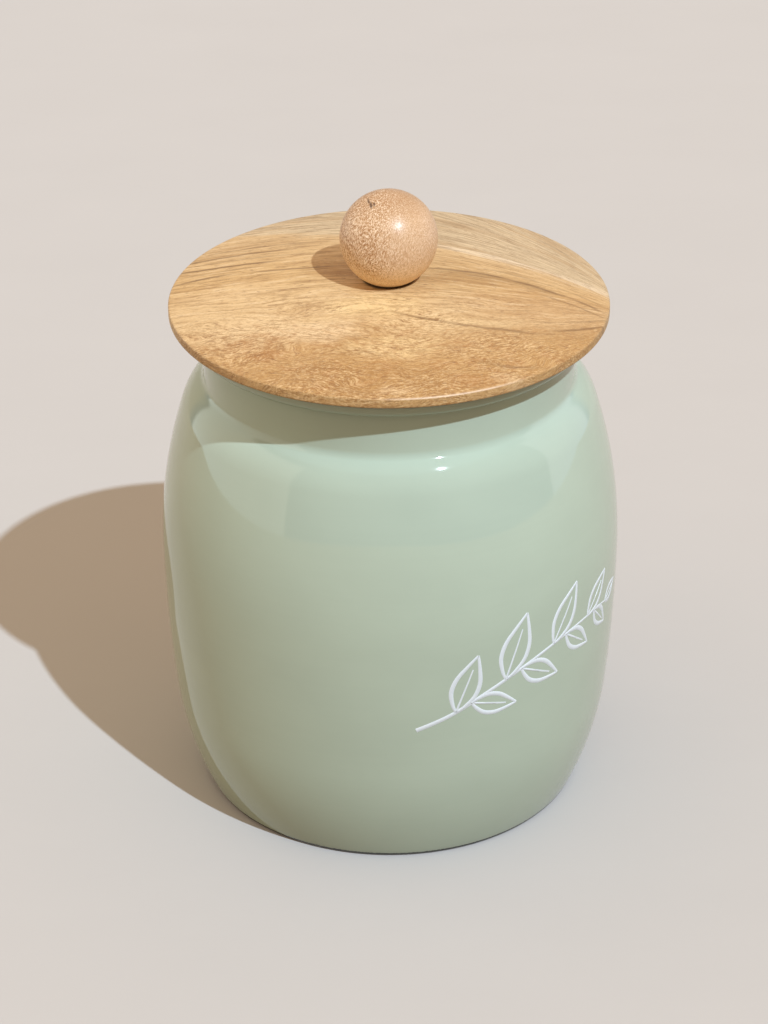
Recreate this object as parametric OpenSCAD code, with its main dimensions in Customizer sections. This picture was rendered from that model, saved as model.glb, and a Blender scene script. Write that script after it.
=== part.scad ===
// Barrel storage canister: an enamelled sheet-steel jar with a rolled rim, and a
// lift-off wooden lid with a sealing ring and a turned ball knob.
// Origin: centre of the foot, on the surface that the jar stands on. +Z is up.

/* [Jar] */
// Largest outside radius of the barrel
belly_r = 67.3; // [62:0.1:75]
// Height of the widest place of the barrel
belly_z = 77; // [70:1:84]
// Radius of the long arc below the widest place, seen from the side
lower_belly_arc = 450; // [350:5:700]
// Height where the belly turns into the tighter foot arc
foot_arc_z = 33; // [26:1:40]
// Radius of the arc that draws the barrel in towards the foot
foot_arc = 106; // [90:1:140]
// Radius of the arc from the widest place up to the shoulder
upper_belly_arc = 145; // [130:1:200]
// Height where the shoulder starts
shoulder_z = 121.5; // [112:0.5:122]
// Radius of the shoulder arc
shoulder_arc = 19.5; // [16:0.5:22]
// Steepest lean of the shoulder from the vertical, in degrees
shoulder_lean = 48; // [42:1:52]
// Radius of the hollow curve between the shoulder and the neck
neck_fillet = 3.5; // [2.5:0.5:5]
// Thickness of the enamelled sheet
sheet = 0.9; // [0.6:0.1:1.2]

/* [Rim and foot] */
// Height of the top of the rolled rim
rim_top_z = 150.4; // [148:0.1:156]
// Outside radius of the roll's own round section
roll_r = 2.75; // [2.4:0.05:3.2]
// Width of the flat hem that the jar stands on
hem_w = 3.5; // [2:0.5:8]
// Outside radius of the bend between the wall and the hem
hem_bend = 1.3; // [1.3:0.1:2.5]

/* [Base] */
// Height of the top of the base pan's upturned flange
pan_flange_z = 7; // [5:0.5:10]
// Air between the base pan's flange and the jar's wall
pan_gap = 0.1; // [0.05:0.05:0.3]
// Radius of the panel that is pressed up in the base
panel_r = 44; // [30:1:48]
// Height that the panel is pressed up
panel_h = 1.2; // [0.5:0.1:2]

/* [Lid] */
// Radius of the lid's top edge
lid_r = 62.5; // [60:0.5:66]
// Height of the lid's edge band
lid_edge_h = 3.2; // [2.8:0.1:6]
// Rise of the lid's domed top above its edge
lid_dome_h = 6.2; // [3:0.1:9]
// How far the edge band swells beyond the top edge
lid_edge_swell = 0.35; // [0.1:0.05:0.6]
// Radius that rounds the lid's lower edge
lid_edge_round = 0.8; // [0.4:0.1:1.2]
// Air between the rolled rim and the lid at rest
lid_gap = 0.1; // [0.05:0.05:0.3]

/* [Plug and seal] */
// Depth of the plug under the lid
plug_h = 10.5; // [9:0.5:16]
// Air between the plug and the inside of the neck
plug_gap = 1.6; // [1.2:0.1:3]
// Width of the bevel round the plug's lower edge
plug_bevel = 1; // [0.4:0.1:1.5]
// Height of the groove that holds the sealing ring
groove_h = 5; // [4:0.5:6]
// Depth of that groove
groove_d = 1.6; // [1:0.1:2.5]
// Air between the sealing ring's ribs and the neck
seal_gap = 0.3; // [0.2:0.05:0.5]
// Number of ribs round the sealing ring
seal_ribs = 3; // [2:1:3]

/* [Knob and screw] */
// Radius of the ball knob
knob_r = 13.9; // [12:0.1:16]
// Radius of the flat that the knob sits on
knob_flat_r = 6; // [4:0.5:7]
// Thread radius of the knob screw
screw_r = 2; // [1.5:0.1:2.5]
// Head radius of the knob screw
screw_head_r = 3.8; // [3.4:0.1:4.4]
// Height of the screw's head
screw_head_h = 2.4; // [2:0.1:2.8]
// Depth that the screw reaches into the knob
screw_bite = 14; // [8:1:18]
// Washer radius
washer_r = 5.5; // [5:0.1:7]
// Washer thickness
washer_t = 1; // [0.8:0.1:1.2]

/* [Hidden] */
$fn = 96;
enamel_green = [0.69, 0.76, 0.70];
inside_green = [0.66, 0.73, 0.67];
mango_top = [0.84, 0.68, 0.45];
mango_plug = [0.80, 0.63, 0.41];
knob_wood = [0.85, 0.70, 0.54];
silicone = [0.90, 0.90, 0.87];
zinc = [0.72, 0.73, 0.75];

// Barrel outline. Each arc meets the next with no corner, and an angle here is how
// far the wall leans from the vertical.
lower_lean = asin((belly_z - foot_arc_z) / lower_belly_arc);
lower_c = [belly_r - lower_belly_arc, belly_z];
foot_c = [lower_c[0] + (lower_belly_arc - foot_arc) * cos(lower_lean),
          foot_arc_z + foot_arc * sin(lower_lean)];
foot_lean = asin((foot_c[1] - hem_bend) / (foot_arc - hem_bend));
upper_lean = asin((shoulder_z - belly_z) / upper_belly_arc);
upper_c = [belly_r - upper_belly_arc, belly_z];
shoulder_c = upper_c + (upper_belly_arc - shoulder_arc) * [cos(upper_lean), sin(upper_lean)];
fillet_c = shoulder_c + (shoulder_arc + neck_fillet) * [cos(shoulder_lean), sin(shoulder_lean)];
neck_r = fillet_c[0] - neck_fillet;
neck_bore = neck_r - sheet;
roll_c = [neck_bore + roll_r, rim_top_z - roll_r];
hem_c = [foot_c[0] + (foot_arc - hem_bend) * cos(foot_lean), hem_bend];

// Heights and radii of the lid's pieces
lid_bottom_z = rim_top_z + lid_gap;
lid_edge_z = lid_bottom_z + lid_edge_h;
dome_arc = (lid_r * lid_r + lid_dome_h * lid_dome_h) / (2 * lid_dome_h);
dome_c_z = lid_edge_z + lid_dome_h - dome_arc;
dome_edge_a = acos(lid_r / dome_arc);
dome_seat_a = acos(knob_flat_r / dome_arc);
seat_z = dome_c_z + dome_arc * sin(dome_seat_a);
knob_c_z = seat_z + sqrt(knob_r * knob_r - knob_flat_r * knob_flat_r);
plug_r = neck_bore - plug_gap;
plug_z = lid_bottom_z - plug_h;
groove_z = plug_z + (plug_h - groove_h) / 2;
screw_air = 0.05;
screw_hole_r = screw_r + screw_air;
recess_r = washer_r + 0.6;
recess_h = screw_head_h + washer_t + 0.8;
washer_z = plug_z + recess_h - washer_t;
slot_w = 1;
slot_d = 1.5;

// Points along an arc, without its last one, which the next stretch starts with
function arc(c, r, a0, a1, n) =
    [for (i = [0:n - 1]) let (a = a0 + (a1 - a0) * i / n) c + r * [cos(a), sin(a)]];

function reversed(list) = [for (i = [len(list) - 1:-1:0]) list[i]];

// Lean of the wall's foot arc at height z, at a depth in from the outside
function lean_at(z, depth) = asin((foot_c[1] - z) / (foot_arc - depth));

// One face of the wall, from the foot to the roll, at a depth in from the outside
function wall_line(depth) = concat(
    arc(foot_c, foot_arc - depth, -foot_lean, -lower_lean, 8),
    arc(lower_c, lower_belly_arc - depth, -lower_lean, 0, 5),
    arc(upper_c, upper_belly_arc - depth, 0, upper_lean, 8),
    arc(shoulder_c, shoulder_arc - depth, upper_lean, shoulder_lean, 8),
    arc(fillet_c, neck_fillet + depth, 180 + shoulder_lean, 180, 6),
    [[neck_r - depth, fillet_c[1]], [neck_r - depth, roll_c[1]]]);

// The wall's lower edge bent inwards, from the flat hem round to the foot arc
function hem_line(depth) =
    concat([[hem_c[0] - hem_w, depth]], arc(hem_c, hem_bend - depth, -90, -foot_lean, 5));

// The rim rolled outwards into an almost closed tube, open next to the neck
module roll_section() {
    translate(roll_c) difference() {
        circle(r = roll_r);
        circle(r = roll_r - sheet);
        translate([-2 * roll_r, -2 * roll_r]) square([1.5 * roll_r, 2 * roll_r]);
    }
}

module jar_shell() {
    color(enamel_green) rotate_extrude() {
        polygon(concat(hem_line(0), wall_line(0), reversed(wall_line(sheet)), reversed(hem_line(sheet))));
        roll_section();
    }
}

// A pan with a pressed-up panel, resting on the hem, its flange against the wall
module base_pan() {
    outer = sheet + pan_gap;
    inner = outer + sheet;
    step_w = 2 * panel_h;
    corner_z = 2 * sheet + pan_gap;
    color(inside_green) rotate_extrude() polygon(concat(
        [[0, sheet + panel_h], [panel_r, sheet + panel_h], [panel_r + step_w, sheet]],
        [[hem_c[0] - sheet, sheet]],
        arc(foot_c, foot_arc - outer, -lean_at(corner_z, outer), -lean_at(pan_flange_z, outer), 3),
        arc(foot_c, foot_arc - inner, -lean_at(pan_flange_z, inner), -lean_at(corner_z, inner), 3),
        [[hem_c[0] - 2 * sheet, 2 * sheet], [panel_r + step_w, 2 * sheet]],
        [[panel_r, 2 * sheet + panel_h], [0, 2 * sheet + panel_h]]));
}

// Domed disc: flat underneath, thin at its edge, with a flat seat for the knob
module lid_disc() {
    edge_r = lid_r + lid_edge_swell;
    round_c = [edge_r - lid_edge_round, lid_bottom_z + lid_edge_round];
    color(mango_top) rotate_extrude() polygon(concat(
        [[screw_hole_r, lid_bottom_z]],
        arc(round_c, lid_edge_round, -90, 0, 5),
        [[edge_r, round_c[1]], [edge_r, lid_edge_z - lid_edge_swell]],
        arc([0, dome_c_z], dome_arc, dome_edge_a, dome_seat_a, 16),
        [[knob_flat_r, seat_z], [screw_hole_r, seat_z]]));
}

// Locating plug, with a groove for the sealing ring and a recess for the screw
module lid_plug() {
    groove_r = plug_r - groove_d;
    color(mango_plug) rotate_extrude() polygon([
        [recess_r, plug_z], [plug_r - plug_bevel, plug_z],
        [plug_r, plug_z + plug_bevel], [plug_r, groove_z],
        [groove_r, groove_z], [groove_r, groove_z + groove_h],
        [plug_r, groove_z + groove_h], [plug_r, lid_bottom_z],
        [screw_hole_r, lid_bottom_z], [screw_hole_r, plug_z + recess_h],
        [recess_r, plug_z + recess_h]]);
}

// Band in the plug's groove, with soft ribs that reach out to the neck
module seal_ring() {
    rib_pitch = groove_h / seal_ribs;
    rib_root = rib_pitch * 0.7;
    rib_tip = rib_pitch * 0.3;
    rib_out = neck_bore - seal_gap - plug_r;
    color(silicone) rotate_extrude() {
        translate([plug_r - groove_d, groove_z]) square([groove_d, groove_h]);
        for (i = [0:seal_ribs - 1]) {
            translate([plug_r, groove_z + rib_pitch * (i + 0.5)]) polygon([
                [-groove_d / 2, -rib_root / 2], [0, -rib_root / 2], [rib_out, -rib_tip / 2],
                [rib_out, rib_tip / 2], [0, rib_root / 2], [-groove_d / 2, rib_root / 2]]);
        }
    }
}

module knob() {
    hole_h = screw_bite + 1;
    color(knob_wood) difference() {
        translate([0, 0, knob_c_z]) sphere(r = knob_r);
        translate([0, 0, seat_z - knob_r]) cylinder(r = knob_r, h = knob_r);
        translate([0, 0, seat_z - 1]) cylinder(r = screw_hole_r, h = hole_h + 1);
    }
}

// Pan-head screw with a cross slot, up through the washer, plug and lid
module knob_screw() {
    tip_h = 3;
    tip_z = seat_z + screw_bite;
    color(zinc) difference() {
        union() {
            translate([0, 0, washer_z - screw_head_h]) cylinder(r1 = screw_head_r - 0.8, r2 = screw_head_r, h = 0.8);
            translate([0, 0, washer_z - screw_head_h + 0.8]) cylinder(r = screw_head_r, h = screw_head_h - 0.8);
            translate([0, 0, washer_z]) cylinder(r = screw_r, h = tip_z - tip_h - washer_z);
            translate([0, 0, tip_z - tip_h]) cylinder(r1 = screw_r, r2 = 0.4, h = tip_h);
        }
        for (a = [0, 90]) {
            translate([0, 0, washer_z - screw_head_h]) rotate(a)
                cube([screw_head_r * 1.2, slot_w, 2 * slot_d], center = true);
        }
    }
}

module screw_washer() {
    color(zinc) translate([0, 0, washer_z]) difference() {
        cylinder(r = washer_r, h = washer_t);
        translate([0, 0, -1]) cylinder(r = screw_hole_r, h = washer_t + 2);
    }
}

jar_shell();
base_pan();
lid_disc();
lid_plug();
seal_ring();
knob();
knob_screw();
screw_washer();
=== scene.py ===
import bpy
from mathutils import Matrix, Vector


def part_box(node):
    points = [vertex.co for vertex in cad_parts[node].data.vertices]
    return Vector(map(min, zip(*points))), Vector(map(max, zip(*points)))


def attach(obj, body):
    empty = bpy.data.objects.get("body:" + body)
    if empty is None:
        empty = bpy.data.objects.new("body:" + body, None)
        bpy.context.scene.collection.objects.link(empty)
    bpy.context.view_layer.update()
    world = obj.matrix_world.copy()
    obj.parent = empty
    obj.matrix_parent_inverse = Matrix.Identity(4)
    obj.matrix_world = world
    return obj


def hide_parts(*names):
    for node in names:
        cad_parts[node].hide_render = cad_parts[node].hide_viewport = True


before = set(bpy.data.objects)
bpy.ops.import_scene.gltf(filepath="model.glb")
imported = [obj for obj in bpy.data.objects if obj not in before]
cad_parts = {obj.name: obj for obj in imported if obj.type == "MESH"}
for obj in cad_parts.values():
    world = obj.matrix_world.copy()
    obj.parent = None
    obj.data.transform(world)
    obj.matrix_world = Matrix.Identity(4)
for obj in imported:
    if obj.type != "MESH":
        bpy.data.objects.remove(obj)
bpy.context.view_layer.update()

import math

import bmesh
import bpy
from mathutils import Matrix, Vector, noise

MM = 0.001
SEGMENTS = 288
LOW, HIGH = 0, 1


def cad_height(node, end):
    """Height in mm of the lowest or the highest point of a CAD node."""
    return round(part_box(node)[end][2] / MM, 3)


# ---- Sizes, in mm: heights read from the CAD parts, the others as the CAD model has them ----
LID_BOTTOM_Z = cad_height("lid_disc", LOW)
PLUG_Z = cad_height("lid_plug", LOW)
PAN_FLANGE_Z = cad_height("base_pan", HIGH)
BELLY_R = 67.3
BELLY_Z = 77.0
LOWER_BELLY_ARC = 450.0
FOOT_ARC_Z = 33.0
FOOT_ARC = 106.0
UPPER_BELLY_ARC = 145.0
SHOULDER_Z = 121.5
SHOULDER_ARC = 19.5
SHOULDER_LEAN = math.radians(48)
NECK_FILLET = 3.5
SHEET = 0.9
ROLL_R = 2.75
ROLL_END = math.radians(-118)
HEM_W = 3.5
HEM_BEND = 1.3
PAN_GAP = 0.1
PANEL_R = 44.0
PANEL_H = 1.2
LID_R = 62.5
LID_EDGE_H = 3.2
LID_DOME_H = 6.2
LID_EDGE_SWELL = 0.35
LID_EDGE_ROUND = 0.8
LID_ARRIS = 0.6
LID_ARRIS_LIFT = 0.02
LID_GAP = 0.1
PLUG_GAP = 1.6
PLUG_BEVEL = 1.0
GROOVE_H = 5.0
GROOVE_D = 1.6
SEAL_GAP = 0.3
SEAL_RIBS = 3
SEAL_BAND = 0.25
KNOB_R = 13.9
KNOB_FLAT_R = 6.0
KNOB_HOLE_H = 15.0
SCREW_HOLE_R = 2.05
RECESS_R = 6.1
RECESS_H = 4.2

LOWER_LEAN = math.asin((BELLY_Z - FOOT_ARC_Z) / LOWER_BELLY_ARC)
LOWER_C = (BELLY_R - LOWER_BELLY_ARC, BELLY_Z)
FOOT_C = (LOWER_C[0] + (LOWER_BELLY_ARC - FOOT_ARC) * math.cos(LOWER_LEAN),
          FOOT_ARC_Z + FOOT_ARC * math.sin(LOWER_LEAN))
FOOT_LEAN = math.asin((FOOT_C[1] - HEM_BEND) / (FOOT_ARC - HEM_BEND))
UPPER_LEAN = math.asin((SHOULDER_Z - BELLY_Z) / UPPER_BELLY_ARC)
UPPER_C = (BELLY_R - UPPER_BELLY_ARC, BELLY_Z)
SHOULDER_REACH = UPPER_BELLY_ARC - SHOULDER_ARC
SHOULDER_C = (UPPER_C[0] + SHOULDER_REACH * math.cos(UPPER_LEAN),
              UPPER_C[1] + SHOULDER_REACH * math.sin(UPPER_LEAN))
FILLET_REACH = SHOULDER_ARC + NECK_FILLET
FILLET_C = (SHOULDER_C[0] + FILLET_REACH * math.cos(SHOULDER_LEAN),
            SHOULDER_C[1] + FILLET_REACH * math.sin(SHOULDER_LEAN))
NECK_R = FILLET_C[0] - NECK_FILLET
NECK_BORE = NECK_R - SHEET
RIM_TOP_Z = LID_BOTTOM_Z - LID_GAP
ROLL_C = (NECK_BORE + ROLL_R, RIM_TOP_Z - ROLL_R)
HEM_C = (FOOT_C[0] + (FOOT_ARC - HEM_BEND) * math.cos(FOOT_LEAN), HEM_BEND)
LID_EDGE_Z = LID_BOTTOM_Z + LID_EDGE_H
DOME_ARC = (LID_R ** 2 + LID_DOME_H ** 2) / (2 * LID_DOME_H)
DOME_C_Z = LID_EDGE_Z + LID_DOME_H - DOME_ARC
SEAT_Z = DOME_C_Z + math.sqrt(DOME_ARC ** 2 - KNOB_FLAT_R ** 2)
KNOB_C_Z = SEAT_Z + math.sqrt(KNOB_R ** 2 - KNOB_FLAT_R ** 2)
PLUG_R = NECK_BORE - PLUG_GAP
GROOVE_Z = (PLUG_Z + LID_BOTTOM_Z - GROOVE_H) / 2


# ---- Turned shapes ----
def arc(c, r, a0, a1, n):
    """Points along an arc, without its last one, which the next stretch starts with."""
    steps = [a0 + (a1 - a0) * i / n for i in range(n)]
    return [(c[0] + r * math.cos(a), c[1] + r * math.sin(a)) for a in steps]


def line(a, b, n):
    """Points along a straight stretch, without its last one."""
    return [(a[0] + (b[0] - a[0]) * i / n, a[1] + (b[1] - a[1]) * i / n) for i in range(n)]


def lathe(name, outline, ring=True, sharp=35, shift=None):
    """Turns (radius, height) points in mm round the Z axis. A ring's outline closes on itself."""
    bm = bmesh.new()
    rows = []
    for r, z in outline:
        if r < 1e-6:
            rows.append([bm.verts.new((0, 0, z * MM))] * SEGMENTS)
            continue
        row = []
        for k in range(SEGMENTS):
            a = 2 * math.pi * k / SEGMENTS
            rr = r + (shift(a, z) if shift else 0)
            row.append(bm.verts.new((rr * math.cos(a) * MM, rr * math.sin(a) * MM, z * MM)))
        rows.append(row)
    pairs = list(zip(rows, rows[1:]))
    if ring:
        pairs.append((rows[-1], rows[0]))
    for lower, upper in pairs:
        for k in range(SEGMENTS):
            m = (k + 1) % SEGMENTS
            corners = [lower[k], lower[m], upper[m], upper[k]]
            corners = [v for i, v in enumerate(corners) if v not in corners[:i]]
            if len(corners) > 2:
                bm.faces.new(corners)
    bmesh.ops.recalc_face_normals(bm, faces=bm.faces)
    return finish_mesh(name, bm, sharp)


def finish_mesh(name, bm, sharp=35):
    mesh = bpy.data.meshes.new(name)
    bm.to_mesh(mesh)
    bm.free()
    mesh.shade_smooth()
    mesh.set_sharp_from_angle(angle=math.radians(sharp))
    piece = bpy.data.objects.new(name, mesh)
    bpy.context.scene.collection.objects.link(piece)
    return piece


SPUN_WAVE = 0.085
SPUN_RINGS = 0.004


def hand_spun(a, z):
    """How far the spun wall strays from a true barrel, in mm. The foot and the rim stay true."""
    fade = min(1.0, max(0.0, z / 20)) * min(1.0, max(0.0, (140 - z) / 12))
    slow = noise.noise(Vector((2.2 * math.cos(a), 2.2 * math.sin(a), z / 38)))
    rings = noise.noise(Vector((0.5 * math.cos(a), 0.5 * math.sin(a), z / 11 + 40)))
    return fade * (SPUN_WAVE * slow + SPUN_RINGS * rings)


def wall_line(depth):
    """The wall from the foot to the top of the neck, at a depth into the sheet."""
    neck_top = (NECK_R - depth, ROLL_C[1])
    neck_foot = (NECK_R - depth, FILLET_C[1])
    return (arc(FOOT_C, FOOT_ARC - depth, -FOOT_LEAN, -LOWER_LEAN, 14)
            + arc(LOWER_C, LOWER_BELLY_ARC - depth, -LOWER_LEAN, 0, 12)
            + arc(UPPER_C, UPPER_BELLY_ARC - depth, 0, UPPER_LEAN, 14)
            + arc(SHOULDER_C, SHOULDER_ARC - depth, UPPER_LEAN, SHOULDER_LEAN, 12)
            + arc(FILLET_C, NECK_FILLET + depth, math.pi + SHOULDER_LEAN, math.pi, 8)
            + line(neck_foot, neck_top, 6))


def hem_line(depth):
    """The foot's edge, turned in under the jar."""
    return ([(HEM_C[0] - HEM_W, depth)]
            + arc(HEM_C, HEM_BEND - depth, -math.pi / 2, -FOOT_LEAN, 8))


def make_jar_body():
    """The wall is one sheet: hem, barrel, shoulder, neck, and the rim rolled outwards."""
    roll_inside = arc(ROLL_C, ROLL_R - SHEET, math.pi, ROLL_END - math.radians(6), 30)
    roll_outside = arc(ROLL_C, ROLL_R, ROLL_END, math.pi, 40)
    outside = hem_line(0) + wall_line(0) + roll_inside + roll_outside
    inside = list(reversed(hem_line(SHEET) + wall_line(SHEET)))
    return lathe("jar_body", outside + inside, shift=hand_spun)


def foot_lean_at(z, depth):
    """Angle on the foot's arc at height z, at a depth into the sheet."""
    return math.asin((FOOT_C[1] - z) / (FOOT_ARC - depth))


def make_jar_base():
    """The pressed pan: a raised panel, a flat ring that lies on the hem, and an upturned flange."""
    outer = SHEET + PAN_GAP
    inner = outer + SHEET
    step_w = 2 * PANEL_H
    low = 2 * SHEET + PAN_GAP
    top = PAN_FLANGE_Z
    under = arc((PANEL_R + step_w, SHEET + 2), 2, math.radians(-120), math.radians(-90), 4)
    outline = ([(0, SHEET + PANEL_H), (PANEL_R, SHEET + PANEL_H)] + under
               + [(PANEL_R + step_w, SHEET), (HEM_C[0] - SHEET, SHEET)]
               + arc(FOOT_C, FOOT_ARC - outer, -foot_lean_at(low, outer), -foot_lean_at(top, outer), 6)
               + arc(FOOT_C, FOOT_ARC - inner, -foot_lean_at(top, inner), -foot_lean_at(low, inner), 6)
               + [(HEM_C[0] - 2 * SHEET, 2 * SHEET), (PANEL_R + step_w, 2 * SHEET)]
               + [(PANEL_R, 2 * SHEET + PANEL_H), (0, 2 * SHEET + PANEL_H)])
    return lathe("jar_base", outline, ring=False)


def make_lid_top():
    """The domed disc: its flat underside, its eased edge, and the flat that the knob sits on."""
    edge_r = LID_R + LID_EDGE_SWELL
    low_c = (edge_r - LID_EDGE_ROUND, LID_BOTTOM_Z + LID_EDGE_ROUND)
    lean = math.acos(LID_R / DOME_ARC)
    high_c = (edge_r - LID_ARRIS, LID_EDGE_Z - LID_ARRIS + LID_ARRIS_LIFT)
    dome_start = math.acos((high_c[0] + LID_ARRIS * math.cos(lean)) / DOME_ARC)
    dome_end = math.acos(KNOB_FLAT_R / DOME_ARC)
    outline = (line((SCREW_HOLE_R, LID_BOTTOM_Z), (low_c[0], LID_BOTTOM_Z), 6)
               + arc(low_c, LID_EDGE_ROUND, -math.pi / 2, 0, 8)
               + [(edge_r, low_c[1])]
               + arc(high_c, LID_ARRIS, 0, lean, 5)
               + arc((0, DOME_C_Z), DOME_ARC, dome_start, dome_end, 80)
               + [(KNOB_FLAT_R, SEAT_Z), (SCREW_HOLE_R, SEAT_Z)])
    return lathe("lid_top", outline, sharp=50)


def make_lid_plug():
    """The plug under the lid, with its groove for the seal and the recess for the screw's head."""
    groove_r = PLUG_R - GROOVE_D
    outline = ([(RECESS_R, PLUG_Z)] + line((RECESS_R + 0.3, PLUG_Z), (PLUG_R - PLUG_BEVEL, PLUG_Z), 8)
               + [(PLUG_R - PLUG_BEVEL, PLUG_Z), (PLUG_R, PLUG_Z + PLUG_BEVEL)]
               + [(PLUG_R, GROOVE_Z), (groove_r, GROOVE_Z), (groove_r, GROOVE_Z + GROOVE_H)]
               + [(PLUG_R, GROOVE_Z + GROOVE_H), (PLUG_R, LID_BOTTOM_Z)]
               + [(SCREW_HOLE_R, LID_BOTTOM_Z), (SCREW_HOLE_R, PLUG_Z + RECESS_H)]
               + [(RECESS_R, PLUG_Z + RECESS_H)])
    return lathe("plug_block", outline)


def make_seal_band():
    """Soft ribs with round tips on a flat band."""
    pitch = GROOVE_H / SEAL_RIBS
    reach = NECK_BORE - SEAL_GAP
    foot = pitch * 0.4
    waist = pitch * 0.27
    tip = pitch * 0.16
    outline = [(PLUG_R - GROOVE_D, GROOVE_Z)]
    for i in range(SEAL_RIBS):
        mid = GROOVE_Z + pitch * (i + 0.5)
        outline += [(PLUG_R, mid - foot), (PLUG_R + SEAL_BAND, mid - waist)]
        outline += arc((reach - tip, mid), tip, -math.pi / 2, math.pi / 2, 8)
        outline += [(reach - tip, mid + tip), (PLUG_R + SEAL_BAND, mid + waist)]
        outline += [(PLUG_R, mid + foot)]
    outline += [(PLUG_R - GROOVE_D, GROOVE_Z + GROOVE_H)]
    return lathe("seal_band", outline, sharp=60)


def make_knob_ball():
    """The turned ball, with its flat foot and the blind hole for the screw."""
    c = (0, KNOB_C_Z)
    low = -math.acos(KNOB_FLAT_R / KNOB_R)
    outline = ([(0, SEAT_Z + KNOB_HOLE_H), (SCREW_HOLE_R, SEAT_Z + KNOB_HOLE_H), (SCREW_HOLE_R, SEAT_Z)]
               + arc(c, KNOB_R, low, math.pi / 2, 90) + [(0, KNOB_C_Z + KNOB_R)])
    return lathe("knob_ball", outline, ring=False)


# ---- Printed sprig ----
INK_T = 0.05
INK_SINK = 0.03
# across an ink line, from side to side: place as a share of half its width, and height above the enamel
INK_SECTION = [(-1, -INK_SINK), (-0.85, INK_T), (0, INK_T), (0.85, INK_T), (1, -INK_SINK)]
# the stem: mm round the jar from the front, and mm up
STEM = [(7, 50), (17, 54), (28, 59.5), (40, 64.5), (52, 68), (64, 69.5), (75, 69), (83, 67)]
# a leaf: where it leaves the stem, its length in mm and its turn from the stem in degrees
LEAVES = [(0.16, 19, 44), (0.22, 15, -42), (0.36, 21, 48), (0.42, 15.5, -46), (0.56, 19, 46),
          (0.62, 14, -44), (0.75, 15, 42), (0.81, 11.5, -40), (0.93, 10, 30)]
# one side of a leaf and its midrib, as shares of the leaf's length
LEAF_SIDE = [(0, 0), (0.12, 0.10), (0.32, 0.20), (0.55, 0.20), (0.78, 0.11), (1, 0)]
LEAF_RIB = [0.0, 0.3, 0.55, 0.76]


def wall_radius(z):
    """Outside radius of the barrel at height z."""
    stretches = ((FOOT_C, FOOT_ARC, -1, FOOT_ARC_Z),
                 (LOWER_C, LOWER_BELLY_ARC, FOOT_ARC_Z, BELLY_Z),
                 (UPPER_C, UPPER_BELLY_ARC, BELLY_Z, SHOULDER_Z))
    for c, r, low, high in stretches:
        if low <= z <= high:
            return c[0] + math.sqrt(r ** 2 - (z - c[1]) ** 2)
    return NECK_R


def on_jar(s, z, proud):
    """A point s mm round the jar from the front and z mm up."""
    turn = s / BELLY_R
    a = turn - math.pi / 2
    r = wall_radius(z) + proud + hand_spun(a % (2 * math.pi), z)
    return Vector((r * math.cos(a), r * math.sin(a), z)) * MM


def smooth_path(points, n):
    """Catmull-Rom curve through the points."""
    ends = [points[0]] + points + [points[-1]]
    out = []
    for i in range(len(points) - 1):
        p0, p1, p2, p3 = [Vector(ends[i + k]) for k in range(4)]
        for k in range(n):
            t = k / n
            out.append(0.5 * (2 * p1 + (p2 - p0) * t + (2 * p0 - 5 * p1 + 4 * p2 - p3) * t * t
                              + (3 * p1 - p0 - 3 * p2 + p3) * t ** 3))
    out.append(Vector(points[-1]))
    return out


def ink_stroke(bm, path, width):
    """A flat raised line; width gives its width in mm at t, which runs from 0 to 1 along it."""
    rows = []
    last = len(path) - 1
    for i, p in enumerate(path):
        ahead = (path[min(i + 1, last)] - path[max(i - 1, 0)]).normalized()
        side = Vector((-ahead.y, ahead.x)) * width(i / last) / 2
        row = []
        for k, proud in INK_SECTION:
            q = p + side * k
            row.append(bm.verts.new(on_jar(q.x, q.y, proud)))
        rows.append(row)
    for a, b in zip(rows, rows[1:]):
        for k in range(4):
            bm.faces.new((a[k], a[k + 1], b[k + 1], b[k]))
    bm.faces.new(rows[0])
    bm.faces.new(list(reversed(rows[-1])))


def leaf_paths(foot, heading, length):
    """Two sides and a midrib of one leaf."""
    along = Vector((math.cos(heading), math.sin(heading)))
    across = Vector((-along.y, along.x))
    sides = []
    for turn in (1, -1):
        points = [foot + along * (t * length) + across * (turn * w * length) for t, w in LEAF_SIDE]
        sides.append(smooth_path([tuple(p) for p in points], 10))
    rib = [tuple(foot + along * (t * length)) for t in LEAF_RIB]
    return sides, smooth_path(rib, 8)


def stem_width(t):
    return 1.5 - 0.9 * t


def leaf_width(t):
    return 0.75 + 0.75 * math.sin(math.pi * t)


def rib_width(t):
    return 0.75 - 0.3 * t


def make_sprig():
    """A stem with leaves on both sides, drawn round the right-hand front of the jar."""
    bm = bmesh.new()
    stem = smooth_path(STEM, 14)
    ink_stroke(bm, stem, stem_width)
    for where, length, turn in LEAVES:
        i = round(where * (len(stem) - 1))
        ahead = stem[min(i + 1, len(stem) - 1)] - stem[i - 1]
        heading = math.atan2(ahead.y, ahead.x) + math.radians(turn)
        sides, rib = leaf_paths(stem[i], heading, length)
        for side in sides:
            ink_stroke(bm, side, leaf_width)
        ink_stroke(bm, rib, rib_width)
    bmesh.ops.recalc_face_normals(bm, faces=bm.faces)
    return finish_mesh("printed_sprig", bm, 60)


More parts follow.
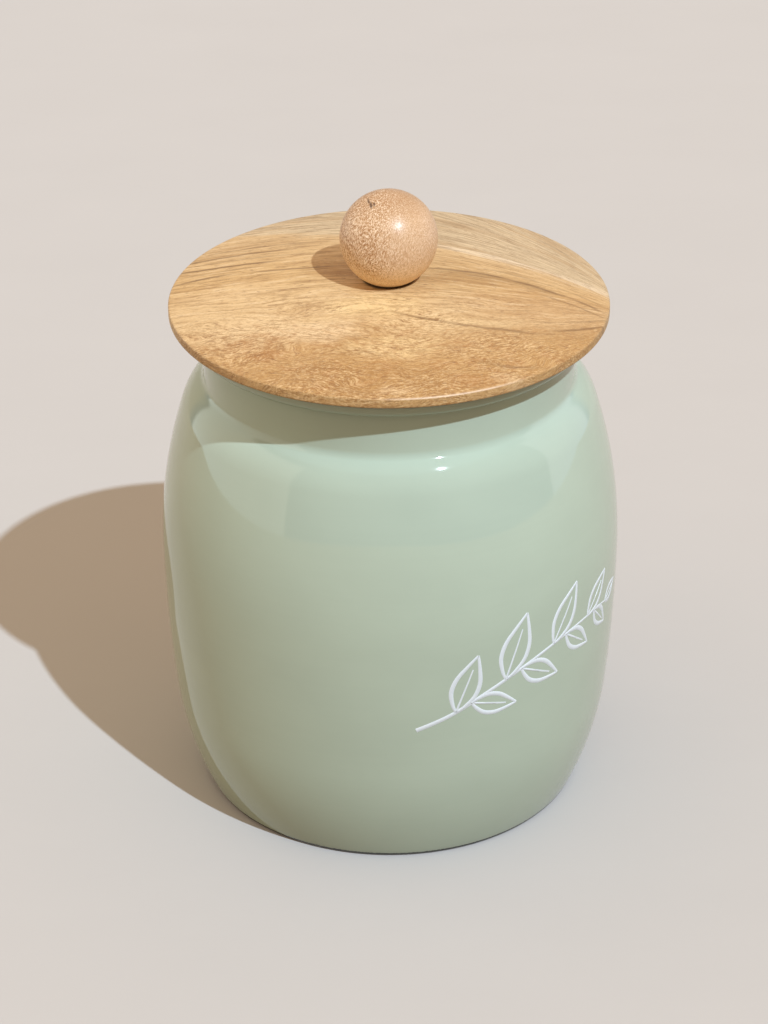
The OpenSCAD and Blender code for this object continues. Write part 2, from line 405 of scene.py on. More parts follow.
# ---- Materials ----
class Graph:
    """Adds shader nodes to one tree and links them."""

    def __init__(self, tree):
        self.tree = tree

    def add(self, kind, **settings):
        made = self.tree.nodes.new(kind)
        for key, value in settings.items():
            setattr(made, key, value)
        return made

    def plug(self, value, socket):
        """Links an output to the socket, or sets the socket to a constant."""
        if isinstance(value, bpy.types.NodeSocket):
            self.tree.links.new(value, socket)
        else:
            socket.default_value = value

    def math(self, what, a, b=0.0, c=0.0):
        made = self.add("ShaderNodeMath", operation=what)
        for i, value in enumerate((a, b, c)):
            self.plug(value, made.inputs[i])
        return made.outputs[0]

    def plus(self, a, b):
        return self.math("ADD", a, b)

    def minus(self, a, b):
        return self.math("SUBTRACT", a, b)

    def times(self, a, b):
        return self.math("MULTIPLY", a, b)

    def over(self, a, b):
        return self.math("DIVIDE", a, b)

    def object_mm(self):
        """Object coordinates in mm, as x, y and z."""
        coords = self.add("ShaderNodeTexCoord").outputs["Object"]
        scaled = self.add("ShaderNodeVectorMath", operation="SCALE")
        self.plug(coords, scaled.inputs[0])
        scaled.inputs["Scale"].default_value = 1 / MM
        split = self.add("ShaderNodeSeparateXYZ")
        self.plug(scaled.outputs[0], split.inputs[0])
        return split.outputs

    def vec(self, x, y, z):
        made = self.add("ShaderNodeCombineXYZ")
        for i, value in enumerate((x, y, z)):
            self.plug(value, made.inputs[i])
        return made.outputs[0]

    def noise(self, x, y, z, scales, detail=2.0, rough=0.5, distortion=0.0):
        """Noise from 0 to 1; scales gives the features per mm along x, y and z."""
        scaled = [self.times(v, s) for v, s in zip((x, y, z), scales)]
        made = self.add("ShaderNodeTexNoise")
        self.plug(self.vec(*scaled), made.inputs["Vector"])
        made.inputs["Scale"].default_value = 1
        made.inputs["Detail"].default_value = detail
        made.inputs["Roughness"].default_value = rough
        made.inputs["Distortion"].default_value = distortion
        return made.outputs["Fac"]

    def centred(self, value, size):
        """A 0 to 1 noise made to swing size each way about 0."""
        return self.times(self.minus(value, 0.5), size * 2)

    def smooth(self, value, low, high, out_low=0.0, out_high=1.0):
        """A soft step from out_low to out_high while the value goes from low to high."""
        made = self.add("ShaderNodeMapRange", interpolation_type="SMOOTHSTEP")
        for socket, v in zip(("Value", "From Min", "From Max", "To Min", "To Max"),
                             (value, low, high, out_low, out_high)):
            self.plug(v, made.inputs[socket])
        return made.outputs[0]

    def ridge(self, value, at, width):
        """1 where value is at, falling to 0 width away."""
        off = self.math("ABSOLUTE", self.minus(value, at))
        return self.smooth(off, 0.0, width, 1.0, 0.0)

    def mix(self, fac, a, b, how="MIX"):
        """Blends two colours, each an output or three numbers."""
        made = self.add("ShaderNodeMix", data_type="RGBA", blend_type=how)
        self.plug(fac, made.inputs[0])
        for socket, value in ((made.inputs[6], a), (made.inputs[7], b)):
            self.plug(value if isinstance(value, bpy.types.NodeSocket) else (*value, 1), socket)
        return made.outputs[2]

    def stain(self, colour, mask, strength, tone):
        """The colour with a tone laid over it where the mask is, at most at the strength."""
        return self.mix(self.times(mask, strength), colour, tone)

    def ramp(self, fac, stops):
        """Colours along fac; a stop is a place and a colour."""
        made = self.add("ShaderNodeValToRGB")
        bar = made.color_ramp.elements
        while len(bar) < len(stops):
            bar.new(0.5)
        for element, (at, colour) in zip(bar, stops):
            element.position = at
            element.color = (*colour, 1)
        self.plug(fac, made.inputs[0])
        return made.outputs[0]

    def bump(self, height, depth_mm, strength=1.0, below=None):
        """A normal for fine relief; below is the normal that it is laid over."""
        made = self.add("ShaderNodeBump")
        made.inputs["Strength"].default_value = strength
        made.inputs["Distance"].default_value = depth_mm * MM
        self.plug(height, made.inputs["Height"])
        if below:
            self.plug(below, made.inputs["Normal"])
        return made.outputs[0]


def new_material(name, viewport):
    material = bpy.data.materials.new(name)
    material.use_nodes = True
    material.diffuse_color = (*viewport, 1)
    shader = material.node_tree.nodes["Principled BSDF"]
    return material, Graph(material.node_tree), shader


FOOT_GAP_SHADE = (0.020, 0.017, 0.014)
# height in mm where the painted shade of the gap under the foot begins, and where it is full
FOOT_SHADE_HEIGHTS = (1.45, 1.05)


def enamel(name, colour, roughness, shaded_foot):
    """Glossy enamel: soft orange peel, faint turned rings and cloudy tone; the foot's lowest edge may be
    painted nearly black, as the shade of the gap under the foot.
    """
    material, g, shader = new_material(name, colour)
    x, y, z = g.object_mm()
    cloud = g.noise(x, y, z, (0.035, 0.035, 0.05), 3)
    rings = g.noise(x, y, z, (0.006, 0.006, 0.8), 3, 0.6)
    speck = g.noise(x, y, z, (1.4, 1.4, 1.4), 2)
    low = g.smooth(z, 1.5, 0.2)
    tone = g.plus(g.centred(cloud, 0.5), g.centred(rings, 0.10))
    dark = tuple(c * 0.955 for c in colour)
    light = tuple(min(1, c * 1.04) for c in colour)
    base = g.mix(g.smooth(tone, -0.5, 0.5), dark, light)
    if shaded_foot:
        # painted shade: the hem's lowest edge goes nearly black, standing in for the shadow in the gap
        # under the foot
        shade_line = g.plus(z, g.centred(speck, 0.25))
        base = g.mix(g.smooth(shade_line, *FOOT_SHADE_HEIGHTS, 0.0, 0.95), base, FOOT_GAP_SHADE)
    g.plug(base, shader.inputs["Base Color"])
    spread = g.plus(roughness - 0.02, g.times(cloud, 0.04))
    g.plug(g.plus(spread, g.times(low, 0.3)), shader.inputs["Roughness"])
    shader.inputs["IOR"].default_value = 1.5
    peel = g.noise(x, y, z, (0.28, 0.28, 0.28), 2, 0.4)
    turned = g.bump(rings, 0.0012)
    g.plug(g.bump(peel, 0.003, 1.0, turned), shader.inputs["Normal"])
    return material


WOOD_DARK = (0.264, 0.122, 0.047)
SAPWOOD = (0.555, 0.432, 0.270)
SAP_EDGE = (0.790, 0.655, 0.470)
BROAD_BAND = (0.395, 0.218, 0.080)
GROWTH_LINE = (0.215, 0.112, 0.042)
SIDE_TINT = (0.640, 0.415, 0.190)
SAP_FIBRE = (0.300, 0.215, 0.130)
LIT_ARRIS = (0.82, 0.66, 0.50)
SEAT_SHADE = (0.040, 0.020, 0.009)
# across the board from front to back: place as a share of its width, and colour
BOARD_TONES = [(0.00, (0.440, 0.245, 0.086)), (0.20, (0.480, 0.275, 0.100)), (0.36, (0.500, 0.302, 0.126)),
               (0.48, (0.655, 0.462, 0.238)), (0.62, (0.645, 0.450, 0.230)), (0.76, (0.585, 0.378, 0.165)),
               (0.86, (0.610, 0.402, 0.185)), (1.00, (0.600, 0.405, 0.200))]


def board_space(g):
    """x along the board and s across its grain: the lines close in on the right-hand end."""
    x, y, z = g.object_mm()
    toward_end = g.math("MAXIMUM", g.over(g.plus(x, 20.0), 96.0), 0.0)
    spread = g.math("MAXIMUM", g.minus(1.0, g.times(toward_end, toward_end)), 0.22)
    middle = g.smooth(x, -25.0, 50.0, -5.0, -13.0)
    s = g.over(g.minus(y, middle), spread)
    left = g.math("MINIMUM", g.plus(x, 15.0), 0.0)
    s = g.plus(s, g.times(left, -0.14))
    return x, y, z, s


def lid_figure(g):
    """Warps the grain: nearly straight at the back and curly towards the front."""
    x, y, z, s = board_space(g)
    front = g.smooth(y, 0.0, -36.0)
    slow = g.centred(g.noise(x, y, z, (0.014, 0.03, 0.03), 2), 1.5)
    curl = g.centred(g.noise(x, y, z, (0.042, 0.065, 0.06), 1.5, 0.5), 12.0)
    ripple = g.centred(g.noise(x, y, z, (0.20, 0.15, 0.2), 2), 1.1)
    bend = g.plus(curl, ripple)
    bend = g.times(bend, g.plus(g.times(front, 0.93), 0.07))
    s = g.plus(g.plus(s, slow), bend)
    depth = g.times(g.minus(z, LID_EDGE_Z), 1.2)
    return x, y, z, g.plus(s, depth), front


def lid_zones(g, x, y, s):
    """Broad colour, and where the sapwood is: it is pale and lies at the back right."""
    fac = g.over(g.plus(s, 62.0), 104.0)
    board = g.ramp(fac, BOARD_TONES)
    edge = g.plus(g.times(x, -0.36), 29.5)
    edge = g.minus(edge, g.times(g.times(x, x), 0.0018))
    wander = g.centred(g.noise(x, y, s, (0.03, 0.03, 0.40), 3), 4.0)
    past = g.plus(g.minus(y, edge), wander)
    sap = g.smooth(past, -2.0, 2.5)
    board = g.stain(board, sap, 0.9, SAPWOOD)
    stripe = g.times(g.ridge(past, 0.8, 2.6), g.smooth(x, -12.0, 15.0))
    return g.stain(board, stripe, 0.62, SAP_EDGE), sap


# a growth line: its y where the bow turns, its bend per mm, the x of that turn, half its width,
# its first and last x, all in mm, and its strength from 0 to 1
LID_STREAKS = [(25.3, -0.0018, -30, 1.1, -62, -27, 0.78), (16.4, 0.0030, -42, 1.1, -64, -30, 0.92),
               (10.4, -0.0060, -46, 1.1, -66, -44, 0.88), (9.4, 0.0010, -28, 0.9, -42, -14, 0.78),
               (20.8, 0.0010, -40, 0.7, -60, -22, 0.58), (13.2, 0.0020, -44, 0.7, -62, -34, 0.55),
               (30.0, -0.0020, -30, 0.8, -54, -16, 0.55), (34.5, -0.0030, -28, 0.6, -48, -14, 0.40),
               (7.6, -0.0060, 5, 1.1, 8, 64, 0.72), (5.6, -0.0052, 5, 2.8, 12, 50, 0.32),
               (11.5, -0.0060, 5, 0.8, 24, 64, 0.44), (2.6, -0.0055, 5, 0.8, 40, 64, 0.55),
               (-28.3, 0.0062, 36, 1.1, 0, 47, 0.70), (-27.0, 0.0150, 37, 1.1, 44, 64, 0.78),
               (-22.5, 0.0100, 34, 0.9, 38, 64, 0.44), (-46.2, 0.0100, 33, 1.2, 24, 42, 0.55)]
DARKEST_STREAK = 0.88


def lid_streaks(g, x, y):
    """Single dark growth lines that bow along the board."""
    total = 0.0
    waver = g.centred(g.noise(x, y, 3.0, (0.06, 0.06, 1.0), 2), 1.1)
    for at, bow, middle, width, start, end, strength in LID_STREAKS:
        off = g.minus(x, middle)
        path = g.plus(g.times(g.times(off, off), bow), at)
        here = g.ridge(g.plus(y, waver), path, width)
        here = g.times(here, g.smooth(x, start - 3, start + 8))
        here = g.times(here, g.smooth(x, end + 3, end - 8))
        patchy = g.noise(x, y, at, (0.10, 0.5, 1.0), 2)
        here = g.times(here, g.smooth(patchy, 0.30, 0.55, 0.35, 1.0))
        total = g.plus(total, g.times(here, strength))
    return g.math("MINIMUM", total, DARKEST_STREAK)


FLAME = (0.330, 0.158, 0.044)
RUST = (0.400, 0.190, 0.062)
PALE = (0.800, 0.610, 0.370)
GOLD = (0.790, 0.590, 0.300)
# a patch: the x and y of its middle, its reach along and across the board in mm, strength and colour
LID_PATCHES = [(-38.0, -28.0, 15.0, 10.0, 0.30, PALE),
               (-41.7, -33.1, 4.5, 2.2, 0.70, RUST), (-34.5, -40.0, 5.5, 2.8, 0.75, RUST),
               (-33.0, -34.0, 2.2, 5.0, 0.60, RUST), (-20.8, -48.3, 6.0, 3.4, 0.55, FLAME),
               (-8.0, -54.3, 15.0, 6.0, 0.30, FLAME), (4.5, -50.3, 13.0, 3.6, 0.40, FLAME),
               (15.0, -38.3, 6.0, 2.6, 0.45, FLAME), (10.5, -57.0, 5.0, 3.5, 0.50, FLAME),
               (24.0, -54.0, 9.0, 3.0, 0.45, RUST), (22.0, 1.6, 20.0, 5.5, 0.45, FLAME),
               (-19.7, -30.3, 13.0, 6.0, 0.58, PALE), (2.0, -39.0, 14.0, 5.5, 0.58, GOLD),
               (-4.0, -16.0, 13.0, 7.0, 0.75, GOLD), (1.9, -58.6, 4.0, 2.4, 0.35, PALE),
               (36.0, -52.0, 8.0, 3.0, 0.40, PALE), (-44.0, -2.0, 18.0, 6.0, 0.20, PALE),
               # the last patch, at x -15 and y 8, is partly painted shade: it darkens the wood where the
               # knob's shadow falls, as well as the darker grain there
               (44.0, -14.0, 26.0, 13.0, 0.42, RUST), (-15.0, 8.0, 9.0, 6.0, 0.40, FLAME)]


def lid_patches(g, x, y, z, colour):
    """Soft ragged patches of darker and paler wood; one of them also deepens the knob's shadow as painted
    shade.
    """
    warp_x = g.centred(g.noise(x, y, z, (0.10, 0.14, 0.1), 3, 0.6), 6.5)
    warp_y = g.centred(g.noise(y, x, z, (0.14, 0.10, 0.1), 3, 0.6), 4.5)
    for px, py, reach_x, reach_y, strength, tone in LID_PATCHES:
        off_x = g.over(g.plus(g.minus(x, px), warp_x), reach_x)
        off_y = g.over(g.plus(g.minus(y, py), warp_y), reach_y)
        away = g.plus(g.times(off_x, off_x), g.times(off_y, off_y))
        colour = g.mix(g.smooth(away, 1.5, 0.0, 0.0, strength), colour, tone)
    return colour


GROOVE_TONE = (0.285, 0.152, 0.058)
GLOSS_TONE = (0.800, 0.625, 0.385)
FIBRE_DARK = (0.290, 0.138, 0.045)
FIBRE_PALE = (0.780, 0.570, 0.315)
GRIT_DARK = (0.300, 0.142, 0.046)
GRIT_PALE = (0.800, 0.600, 0.350)


def lid_fibres(g, x, y, z, s, front, colour):
    """Fine lines and pores along the grain, breaking into short curly fibres at the front."""
    fine = g.noise(x, s, z, (0.075, 1.05, 0.3), 4, 0.70)
    straight = g.smooth(front, 0.2, 0.9, 1.0, 0.30)
    groove = g.times(g.smooth(fine, 0.51, 0.64), g.math("MAXIMUM", straight, 0.65))
    colour = g.stain(colour, groove, 0.62, GROOVE_TONE)
    gloss = g.times(g.smooth(fine, 0.47, 0.36), straight)
    colour = g.stain(colour, gloss, 0.45, GLOSS_TONE)
    calm = g.noise(x, y, z, (0.06, 0.09, 0.06), 2)
    weight = g.plus(g.times(front, 0.80), 0.20)
    weight = g.times(weight, g.smooth(calm, 0.42, 0.58, 0.55, 1.0))
    short = g.noise(x, s, z, (0.50, 1.75, 1.0), 4, 0.70)
    dark = g.times(g.smooth(short, 0.50, 0.60), weight)
    colour = g.stain(colour, dark, 0.76, FIBRE_DARK)
    light = g.times(g.smooth(short, 0.49, 0.37), weight)
    colour = g.stain(colour, light, 0.56, FIBRE_PALE)
    speckle = g.noise(x, y, z, (1.3, 2.0, 2.0), 3, 0.70)
    grit = g.times(g.smooth(speckle, 0.53, 0.64), weight)
    colour = g.stain(colour, grit, 0.44, GRIT_DARK)
    bright = g.times(g.smooth(speckle, 0.47, 0.36), weight)
    colour = g.stain(colour, bright, 0.36, GRIT_PALE)
    pores = g.noise(x, s, z, (0.42, 2.3, 1.2), 2, 0.5)
    return g.mix(g.smooth(pores, 0.61, 0.69, 0.0, 0.62), colour, WOOD_DARK), fine, pores


def lid_swirls(g, x, y, z, colour):
    """Long curved lines in the front of the lid."""
    swirl = g.noise(x, y, z, (0.042, 0.075, 0.06), 3, 0.55, 1.1)
    for at, width, strength, tone in ((0.52, 0.035, 0.50, RUST), (0.43, 0.022, 0.40, FLAME)):
        curve = g.times(g.ridge(swirl, at, width), g.smooth(y, -18.0, -32.0))
        colour = g.stain(colour, curve, strength, tone)
    return colour


def painted_arris_highlight(g, x, y, z, colour):
    """Painted highlight: a pale line along the front of the lid's upper edge, where the edge catches the
    light.
    """
    arris = g.times(g.ridge(z, LID_EDGE_Z - 0.25, 0.35), g.smooth(y, -44.0, -54.0))
    arris = g.times(arris, g.smooth(x, 40.0, 24.0))
    return g.mix(g.times(arris, g.smooth(x, -6.0, 8.0, 0.0, 0.6)), colour, LIT_ARRIS)


def lid_wood():
    """Satin mango wood: broad zones, patches, swirls, fibres, growth lines, a painted highlight along the
    front of the upper edge and painted shade round the knob's seat.
    """
    material, g, shader = new_material("lid_wood", (0.62, 0.42, 0.19))
    x, y, z, s, front = lid_figure(g)
    colour, sap = lid_zones(g, x, y, s)
    broad = g.noise(x, s, z, (0.03, 0.20, 0.05), 3, 0.55)
    colour = g.mix(g.smooth(broad, 0.48, 0.70, 0.0, 0.42), colour, BROAD_BAND)
    colour = lid_patches(g, x, y, z, colour)
    colour = lid_swirls(g, x, y, z, colour)
    side = g.times(g.smooth(z, LID_EDGE_Z + 0.2, LID_EDGE_Z - 0.5), g.smooth(y, -35.0, -55.0))
    colour = g.stain(colour, side, 0.45, SIDE_TINT)
    colour, fine, pores = lid_fibres(g, x, y, z, s, front, colour)
    grey = g.times(sap, g.smooth(fine, 0.50, 0.60))
    colour = g.stain(colour, grey, 0.30, SAP_FIBRE)
    colour = g.mix(lid_streaks(g, x, y), colour, GROWTH_LINE)
    colour = painted_arris_highlight(g, x, y, z, colour)
    away = g.math("SQRT", g.plus(g.times(x, x), g.times(y, y)))
    # painted shade: a near-black ring round the knob's seat, for the dark gap and contact shadow under the
    # ball
    colour = g.mix(g.smooth(away, 8.0, 6.8, 0.0, 0.88), colour, SEAT_SHADE)
    g.plug(colour, shader.inputs["Base Color"])
    g.plug(g.plus(0.42, g.times(fine, 0.16)), shader.inputs["Roughness"])
    shader.inputs["IOR"].default_value = 1.42
    grain = g.bump(fine, 0.03)
    g.plug(g.bump(g.smooth(pores, 0.72, 0.60), 0.05, 1.0, grain), shader.inputs["Normal"])
    return material


def plain_wood(name, tint):
    """Sanded mango wood, with straight grain."""
    material, g, shader = new_material(name, tint)
    x, y, z = g.object_mm()
    wave = g.centred(g.noise(x, y, z, (0.02, 0.03, 0.03), 2), 6.0)
    s = g.plus(y, wave)
    broad = g.noise(x, s, z, (0.02, 0.15, 0.1), 3)
    fine = g.noise(x, s, z, (0.05, 1.5, 0.3), 4, 0.65)
    pores = g.noise(x, s, z, (0.45, 3.4, 1.2), 2)
    colour = g.mix(broad, tuple(c * 0.88 for c in tint), tuple(min(1, c * 1.14) for c in tint))
    colour = g.mix(g.smooth(fine, 0.5, 0.75, 0.0, 0.4), colour, WOOD_DARK)
    colour = g.mix(g.smooth(pores, 0.62, 0.74, 0.0, 0.5), colour, WOOD_DARK)
    g.plug(colour, shader.inputs["Base Color"])
    g.plug(g.plus(0.52, g.times(fine, 0.2)), shader.inputs["Roughness"])
    g.plug(g.bump(fine, 0.04), shader.inputs["Normal"])
    return material


KNOB_BROWN = (0.595, 0.376, 0.206)
KNOB_BLOND = (0.665, 0.452, 0.278)
KNOB_BOUNCE_LIGHT = (0.860, 0.585, 0.300)
KNOB_CROWN = (0.450, 0.265, 0.135)
FLECK_DARK = (0.335, 0.150, 0.045)
FLECK_PALE = (0.880, 0.710, 0.520)
FLECK_TINY = (0.330, 0.170, 0.070)
PIT = (0.10, 0.05, 0.025)
# x and height from the ball's middle, and size, in mm
KNOB_PITS = [(-5.6, 12.5, 0.45), (-4.9, 12.1, 0.6), (-4.0, 12.4, 0.4)]


def knob_pits(g, x, y, z, colour):
    """Three small dark pits on the front of the crown."""
    for px, pz, size in KNOB_PITS:
        off_x = g.minus(x, px)
        off_z = g.minus(z, pz)
        away = g.math("SQRT", g.plus(g.times(off_x, off_x), g.times(off_z, off_z)))
        pit = g.times(g.smooth(away, size, size * 0.4), g.smooth(y, 0.0, -3.0))
        colour = g.stain(colour, pit, 0.8, PIT)
    return colour


def knob_wood():
    """Satin pale wood, with short wavy ray flecks that fade to the right and towards the foot; its lower
    half is painted lighter, as bounce light from the lid.
    """
    material, g, shader = new_material("knob_wood", (0.66, 0.45, 0.26))
    x, y, z = g.object_mm()
    z = g.minus(z, KNOB_C_Z)
    wave = g.centred(g.noise(x, y, z, (0.16, 0.16, 0.16), 2), 2.4)
    across = g.plus(g.plus(x, g.times(z, -0.22)), wave)
    fleck = g.noise(across, y, z, (4.3, 2.8, 1.35), 2, 0.5, 0.30)
    tiny = g.noise(across, y, z, (4.4, 3.4, 2.6), 2, 0.5)
    mottle = g.noise(x, y, z, (0.14, 0.14, 0.14), 3)
    fade = g.smooth(x, 6.0, -6.0, 0.40, 1.0)
    fade = g.times(fade, g.smooth(z, -10.0, -3.0, 0.45, 1.0))
    colour = g.mix(mottle, KNOB_BROWN, KNOB_BLOND)
    # painted bounce light: the lower half of the ball is lightened towards the foot, standing in for light
    # thrown up by the lid
    colour = g.mix(g.smooth(z, 0.0, -10.5, 0.0, 0.95), colour, KNOB_BOUNCE_LIGHT)
    colour = g.mix(g.smooth(z, 8.0, 13.6, 0.0, 0.90), colour, KNOB_CROWN)
    dark = g.times(g.smooth(fleck, 0.53, 0.59), fade)
    pale = g.times(g.smooth(fleck, 0.47, 0.40), fade)
    colour = g.stain(colour, dark, 0.88, FLECK_DARK)
    colour = g.stain(colour, pale, 0.85, FLECK_PALE)
    colour = g.mix(g.smooth(tiny, 0.54, 0.64, 0.0, 0.42), colour, FLECK_TINY)
    colour = knob_pits(g, x, y, z, colour)
    g.plug(colour, shader.inputs["Base Color"])
    g.plug(g.plus(0.29, g.times(fleck, 0.13)), shader.inputs["Roughness"])
    shader.inputs["IOR"].default_value = 1.42
    g.plug(g.bump(fleck, 0.015), shader.inputs["Normal"])
    return material


def silicone():
    """Cloudy white silicone that lets a little light in."""
    material, g, shader = new_material("silicone", (0.82, 0.82, 0.78))
    x, y, z = g.object_mm()
    cloud = g.noise(x, y, z, (0.1, 0.1, 0.3), 3)
    g.plug(g.mix(cloud, (0.74, 0.74, 0.69), (0.84, 0.84, 0.80)), shader.inputs["Base Color"])
    g.plug(g.plus(0.38, g.times(cloud, 0.15)), shader.inputs["Roughness"])
    shader.inputs["Subsurface Weight"].default_value = 0.25
    shader.inputs["Subsurface Radius"].default_value = (0.002, 0.002, 0.002)
    g.plug(g.bump(g.noise(x, y, z, (1.5, 1.5, 1.5), 2), 0.01), shader.inputs["Normal"])
    return material


def zinc():
    """Bright zinc plating with fine scratches."""
    material, g, shader = new_material("zinc_steel", (0.6, 0.6, 0.62))
    x, y, z = g.object_mm()
    scratch = g.noise(x, y, z, (0.5, 6.0, 2.0), 3)
    g.plug(g.mix(scratch, (0.50, 0.50, 0.51), (0.68, 0.68, 0.70)), shader.inputs["Base Color"])
    shader.inputs["Metallic"].default_value = 1.0
    g.plug(g.plus(0.24, g.times(scratch, 0.2)), shader.inputs["Roughness"])
    g.plug(g.bump(scratch, 0.004), shader.inputs["Normal"])
    return material


def print_ink():
    """White ink that covers a little unevenly."""
    material, g, shader = new_material("print_white", (0.80, 0.84, 0.86))
    x, y, z = g.object_mm()
    cover = g.noise(x, y, z, (1.2, 1.2, 1.2), 3)
    g.plug(g.mix(cover, (0.66, 0.735, 0.80), (0.74, 0.81, 0.865)), shader.inputs["Base Color"])
    g.plug(g.plus(0.32, g.times(cover, 0.12)), shader.inputs["Roughness"])
    g.plug(g.bump(cover, 0.006), shader.inputs["Normal"])
    return material


# the floor's colour for the soft light that it throws back at the jar
BOUNCE = (0.145, 0.105, 0.050)


def floor_material():
    """Plain pale floor with a faint cloud."""
    material, g, shader = new_material("floor", (0.75, 0.70, 0.66))
    x, y, z = g.object_mm()
    cloud = g.noise(x, y, z, (0.012, 0.02, 0.02), 4, 0.6)
    pale = g.mix(cloud, (0.468, 0.460, 0.450), (0.490, 0.482, 0.472))
    bounced = g.add("ShaderNodeLightPath").outputs["Is Diffuse Ray"]
    g.plug(g.mix(bounced, pale, BOUNCE), shader.inputs["Base Color"])
    shader.inputs["Roughness"].default_value = 0.9
    shader.inputs["Specular IOR Level"].default_value = 0.1
    return material


# ---- Stage ----
# reach along X and Y, in metres
FLOOR_NEAR = (0.75, 1.46)
FLOOR_FAR = (45.0, 45.0)
FLOOR_SIDES = 96


def make_floor(name, material, inner, outer, mirrored):
    """A flat oval, or a ring when it has an inner size; a mirrored one shows in the enamel."""
    bm = bmesh.new()
    turns = [2 * math.pi * k / FLOOR_SIDES for k in range(FLOOR_SIDES)]
    rim = [bm.verts.new((outer[0] * math.cos(a), outer[1] * math.sin(a), 0)) for a in turns]
    if inner:
        hole = [bm.verts.new((inner[0] * math.cos(a), inner[1] * math.sin(a), 0)) for a in turns]
        for k in range(FLOOR_SIDES):
            m = (k + 1) % FLOOR_SIDES
            bm.faces.new((hole[k], rim[k], rim[m], hole[m]))
    else:
        bm.faces.new(rim)
    floor = finish_mesh(name, bm)
    floor.data.materials.append(material)
    floor.visible_glossy = mirrored
    floor.visible_diffuse = mirrored


# degrees: the turn is from the front to the right, and the height is above the floor
SUN_TURN = 35.0
SUN_HEIGHT = 49.0
SUN_WIDTH = 0.9
SUN_ENERGY = 3.64
SUN_COLOUR = (0.73, 0.857, 0.985)


def make_sun():
    """One hard light from the front right."""
    light = bpy.data.lights.new("key", "SUN")
    light.energy = SUN_ENERGY
    light.color = SUN_COLOUR
    light.angle = math.radians(SUN_WIDTH)
    turn = math.radians(SUN_TURN)
    height = math.radians(SUN_HEIGHT)
    flat = math.cos(height)
    toward = Vector((math.sin(turn) * flat, -math.cos(turn) * flat, math.sin(height)))
    key = bpy.data.objects.new("key", light)
    key.rotation_mode = "QUATERNION"
    key.rotation_quaternion = toward.to_track_quat("Z", "Y")
    bpy.context.scene.collection.objects.link(key)


FILL_LOW = (0.66, 0.50, 0.365)
FILL_HIGH = (0.86, 0.60, 0.39)
BELOW = (0.10, 0.08, 0.05)
FILL_LEFT = (0.78, 0.73, 0.61)
FILL_BACK = (0.10, 0.24, 0.28)
MIRROR_FRONT = (0.03, 0.20, 0.46)
MIRROR_LEFT_NEAR = (1.00, 1.05, 1.10)
MIRROR_LEFT_FAR = (1.50, 1.80, 1.90)
MIRROR_RIGHT = (0.95, 1.10, 1.35)
MIRROR_BACK = (0.60, 0.55, 0.50)
MIRROR_CEILING = (0.40, 0.72, 1.00)
# degrees: a turn is from the front, to the right when positive, and a height is above the floor;
# a pair says where a soft edge starts and where it ends
LEFT_PANEL = ((-132.0, -128.0), (-52.0, -54.0))
RIGHT_PANEL = ((89.0, 91.0), (134.0, 128.0))
PANEL_TOP = (41.0, 37.0)
CEILING_EDGE = (44.5, 48.5)
BACK_WALL = (130.0, 140.0)


def room_fill(g, turn, height):
    """Soft warm light: stronger from above and the left, cooler from behind, weaker low in front."""
    fill = g.mix(g.smooth(height, 0.0, 70.0), FILL_LOW, FILL_HIGH)
    left = g.times(g.smooth(turn, -30.0, -70.0), g.smooth(turn, -175.0, -130.0))
    left = g.times(left, g.smooth(height, 45.0, 20.0))
    fill = g.mix(left, fill, FILL_LEFT, "ADD")
    aside = g.math("ABSOLUTE", turn)
    back = g.times(g.smooth(aside, 110.0, 150.0), g.smooth(height, 45.0, 15.0))
    fill = g.mix(back, fill, FILL_BACK, "ADD")
    front = g.times(g.smooth(aside, 60.0, 25.0), g.smooth(height, 25.0, 5.0))
    fill = g.mix(g.times(front, 0.25), fill, BELOW)
    return g.mix(g.smooth(height, -0.5, -3.0), fill, BELOW)


def side_panel(g, turn, height, edges):
    """1 inside a bright panel that stands between two turns."""
    first, last = edges
    mask = g.times(g.smooth(turn, *first), g.smooth(turn, *last))
    return g.times(mask, g.smooth(height, *PANEL_TOP))


def room_mirrored(g, turn, height):
    """What glossy surfaces show: a dim front, a bright panel on each side and a bright ceiling."""
    colour = g.mix(g.smooth(g.math("ABSOLUTE", turn), *BACK_WALL), MIRROR_FRONT, MIRROR_BACK)
    panel = g.mix(g.smooth(turn, -60.0, -115.0), MIRROR_LEFT_NEAR, MIRROR_LEFT_FAR)
    colour = g.mix(side_panel(g, turn, height, LEFT_PANEL), colour, panel)
    colour = g.mix(side_panel(g, turn, height, RIGHT_PANEL), colour, MIRROR_RIGHT)
    return g.mix(g.smooth(height, *CEILING_EDGE), colour, MIRROR_CEILING)


def make_room():
    """A plain room as a function of direction: soft fill for matt surfaces, panels for glossy ones."""
    world = bpy.data.worlds.new("room")
    world.use_nodes = True
    bpy.context.scene.world = world
    g = Graph(world.node_tree)
    split = g.add("ShaderNodeSeparateXYZ")
    g.plug(g.add("ShaderNodeTexCoord").outputs["Generated"], split.inputs[0])
    x, y, z = split.outputs
    turn = g.math("DEGREES", g.math("ARCTAN2", x, g.times(y, -1.0)))
    height = g.math("DEGREES", g.math("ARCSINE", z))
    glossy = g.add("ShaderNodeLightPath").outputs["Is Glossy Ray"]
    colour = g.mix(glossy, room_fill(g, turn, height), room_mirrored(g, turn, height))
    g.plug(colour, world.node_tree.nodes["Background"].inputs["Color"])
    bpy.context.scene.view_settings.view_transform = "Standard"


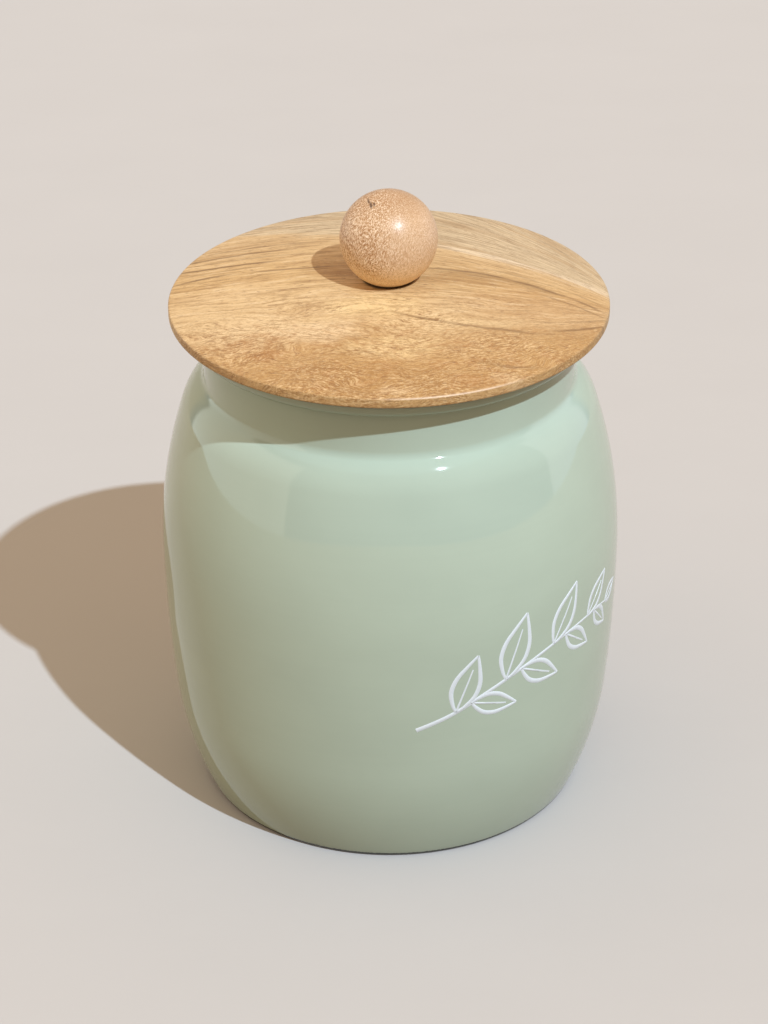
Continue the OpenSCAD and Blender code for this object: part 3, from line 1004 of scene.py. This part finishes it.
# the lens in mm, the place in metres
CAMERA_LENS = 110.8
CAMERA_PLACE = (-0.0018, -0.8125, 0.53975)
CAMERA_DOWN = math.radians(29.30)
CAMERA_ROLL = math.radians(-0.36)


def make_camera():
    """In front of the jar, looking down at it, a little rolled."""
    data = bpy.data.cameras.new("camera")
    data.lens = CAMERA_LENS
    data.sensor_width = 36
    data.clip_start = 0.05
    data.clip_end = 50
    camera = bpy.data.objects.new("camera", data)
    camera.location = CAMERA_PLACE
    camera.rotation_mode = "XYZ"
    aim = Vector((0, math.cos(CAMERA_DOWN), -math.sin(CAMERA_DOWN)))
    turned = aim.to_track_quat("-Z", "Y").to_matrix().to_4x4()
    turned = turned @ Matrix.Rotation(CAMERA_ROLL, 4, "Z")
    camera.rotation_euler = turned.to_euler()
    bpy.context.scene.collection.objects.link(camera)
    bpy.context.scene.camera = camera


# ---- Assembly ----
def place(piece, body, slot, material, *nodes):
    """Puts a finished piece on its body, in place of the CAD nodes named."""
    piece.data.materials.append(material)
    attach(piece, body)
    if nodes:
        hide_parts(*nodes)


def dress_cad(node, material):
    """Shows a CAD node as it is, in the material."""
    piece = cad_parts[node]
    for holder in piece.material_slots:
        holder.material = material


make_camera()
make_sun()
make_room()
pale_floor = floor_material()
make_floor("floor_near", pale_floor, None, FLOOR_NEAR, True)
make_floor("floor_far", pale_floor, FLOOR_NEAR, FLOOR_FAR, False)

ENAMEL = (0.425, 0.515, 0.420)
green = enamel("enamel", ENAMEL, 0.045, True)
place(make_jar_body(), "jar", "enamel", green, "jar_shell")
place(make_jar_base(), "jar", "enamel_inside", enamel("enamel_inside", ENAMEL, 0.16, False), "base_pan")
place(make_sprig(), "jar", "print_white", print_ink())
place(make_lid_top(), "lid", "lid_wood", lid_wood(), "lid_disc")
place(make_lid_plug(), "lid", "plug_wood", plain_wood("plug_wood", (0.66, 0.42, 0.19)), "lid_plug")
place(make_seal_band(), "lid", "silicone", silicone(), "seal_ring")
place(make_knob_ball(), "lid", "knob_wood", knob_wood(), "knob")
steel = zinc()
dress_cad("knob_screw", steel)
dress_cad("screw_washer", steel)
